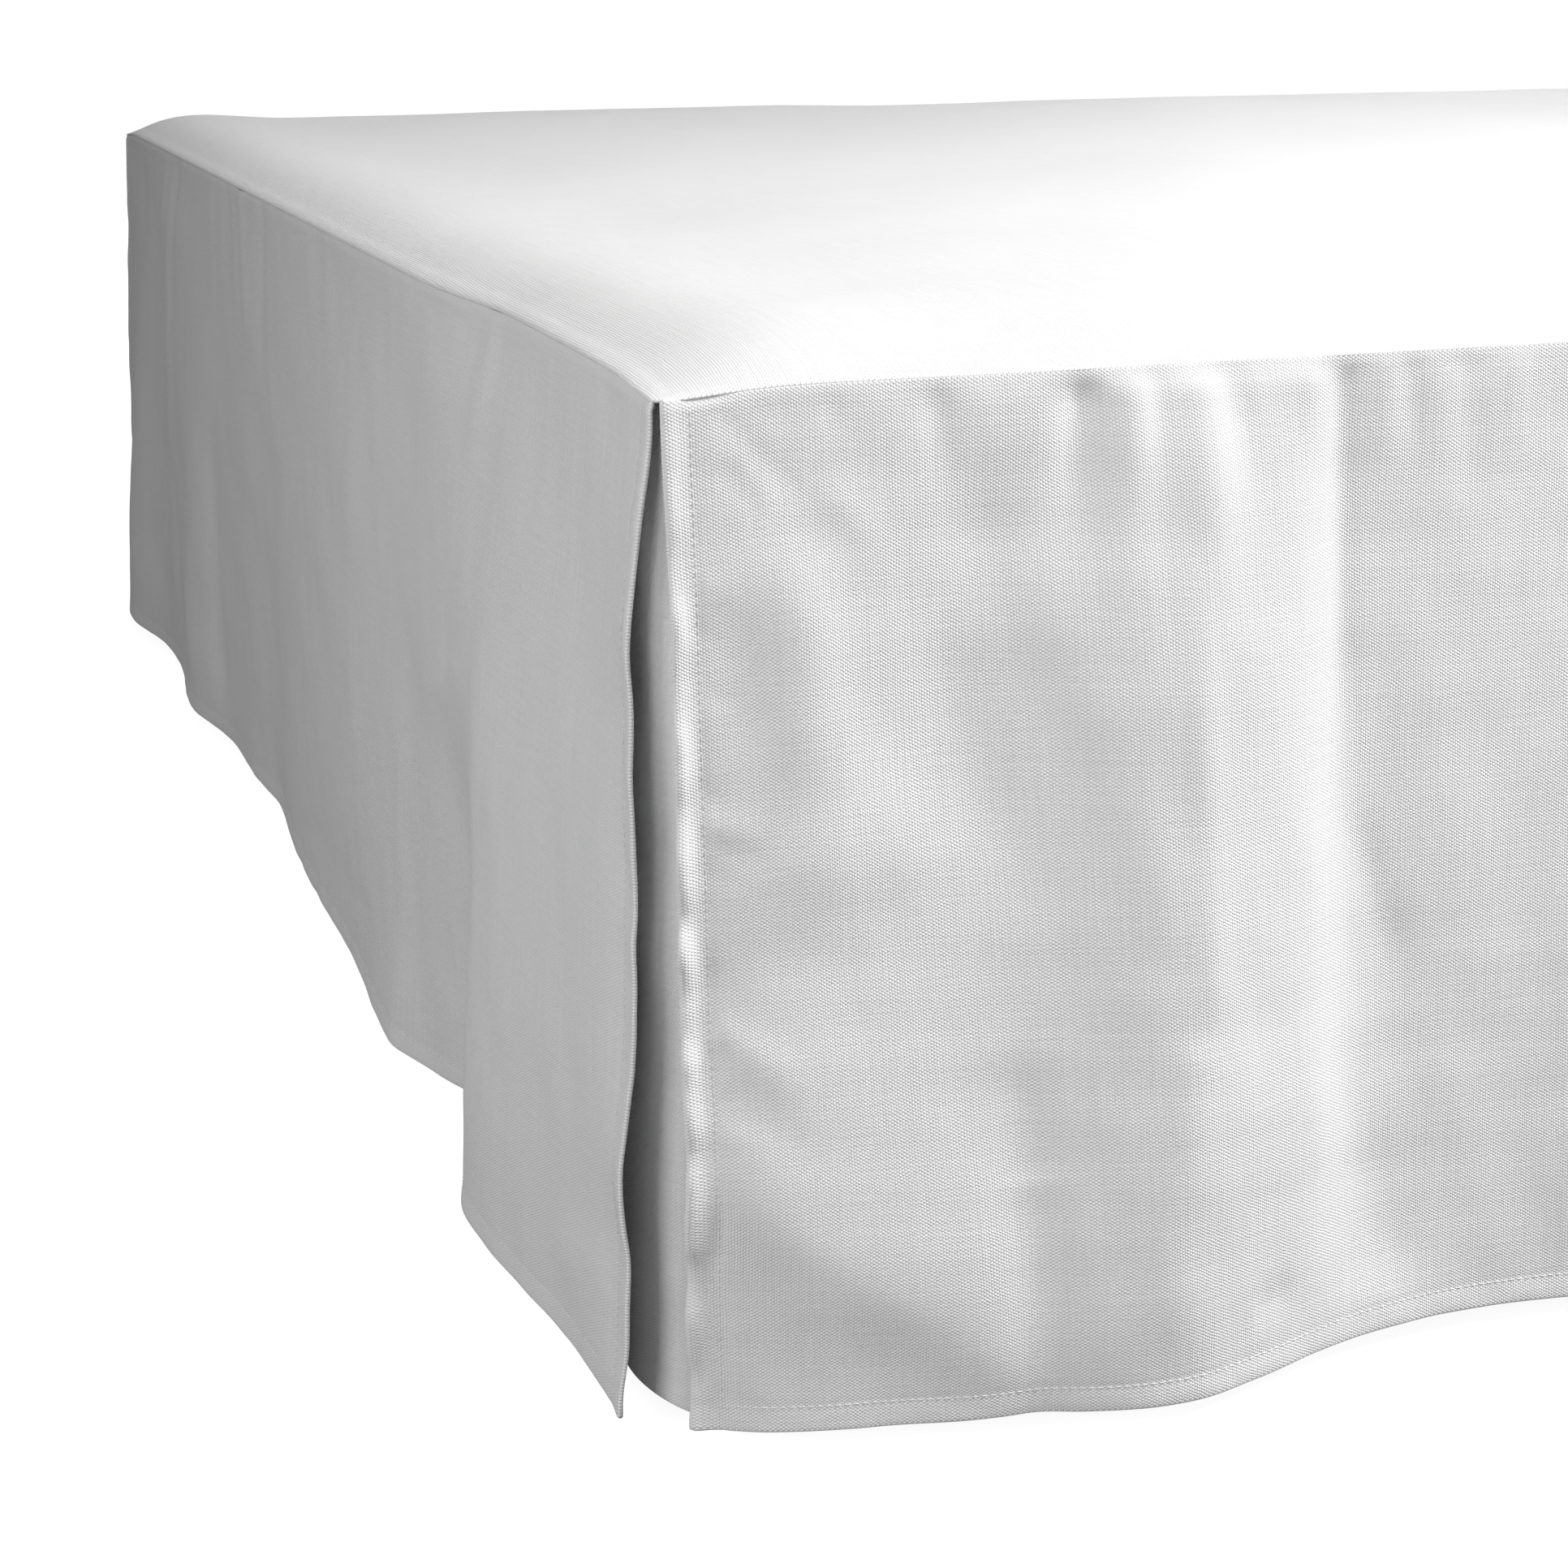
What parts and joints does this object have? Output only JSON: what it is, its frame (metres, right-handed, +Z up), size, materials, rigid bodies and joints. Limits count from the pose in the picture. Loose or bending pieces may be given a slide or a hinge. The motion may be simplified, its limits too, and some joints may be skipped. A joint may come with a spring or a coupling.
{
  "type": "bed skirt on bed base",
  "caption": "Tailored bed skirt with split corners and backing strips; its deck cloth lies over a plain bed base on legs and its panels hang in soft folds to just above the floor.",
  "frame": {"origin": "on the floor, under the centre of the whole part's box", "axes": "+X to the head of the bed, +Y across it to the far side panel, +Z up; the foot panel faces -X and the pictured side panel faces -Y"},
  "size_m": [2.0668, 1.6338, 0.4062],
  "materials": {
    "cloth": "matte white cotton canvas",
    "ticking": "matte ticking",
    "wood": "satin dark wood"
  },
  "bodies": {
    "root": {"deck": "cloth", "side_panel_near": "cloth", "side_panel_far": "cloth", "foot_panel": "cloth", "underlay_near": "cloth", "underlay_far": "cloth", "foundation": "ticking", "leg_foot_near": "wood", "leg_foot_far": "wood", "leg_middle_near": "wood", "leg_middle_far": "wood", "leg_head_near": "wood", "leg_head_far": "wood"}
  },
  "joints": []
}
